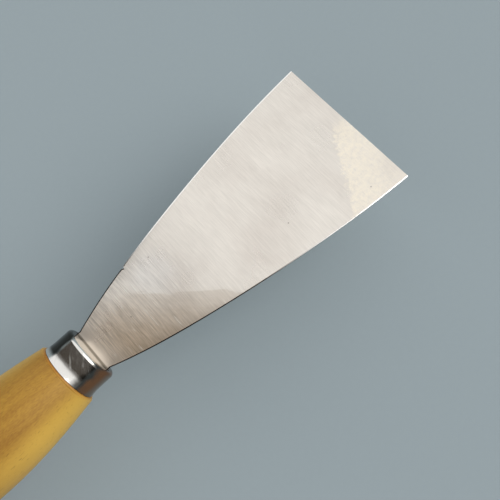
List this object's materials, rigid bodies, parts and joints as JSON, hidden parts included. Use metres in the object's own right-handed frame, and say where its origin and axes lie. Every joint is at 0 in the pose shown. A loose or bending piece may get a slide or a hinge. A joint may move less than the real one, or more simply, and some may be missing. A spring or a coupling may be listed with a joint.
{
  "type": "flexible putty knife",
  "caption": "Flexible putty knife: thin flared steel blade that bends at the root, round plated ferrule and turned lacquered wooden handle.",
  "frame": {"origin": "centre of the ferrule's front face, where the blade comes out", "axes": "+X along the knife towards the working edge, +Y across the blade, +Z out of the blade's upper face"},
  "size_m": [0.2066, 0.05, 0.0268],
  "materials": {
    "spring_steel": "cross-ground satin",
    "nickel_plate": "bright plated, lightly scratched",
    "lacquered_wood": "clear gloss lacquer over straight-grained wood",
    "pin_steel": "bright drawn wire"
  },
  "bodies": {
    "grip_body": {"handle": "lacquered_wood", "ferrule": "nickel_plate", "ferrule_pin": "pin_steel"},
    "blade_body": {"blade": "spring_steel"}
  },
  "joints": [
    {"name": "blade_flex", "type": "hinge", "parent": "grip_body", "child": "blade_body", "pos_m": [0, 0, 0], "axis": [0, 1, 0], "range_deg": [-20, 20], "stiffness_Nm_per_rad": 5.5, "deforming": ["blade"]}
  ]
}
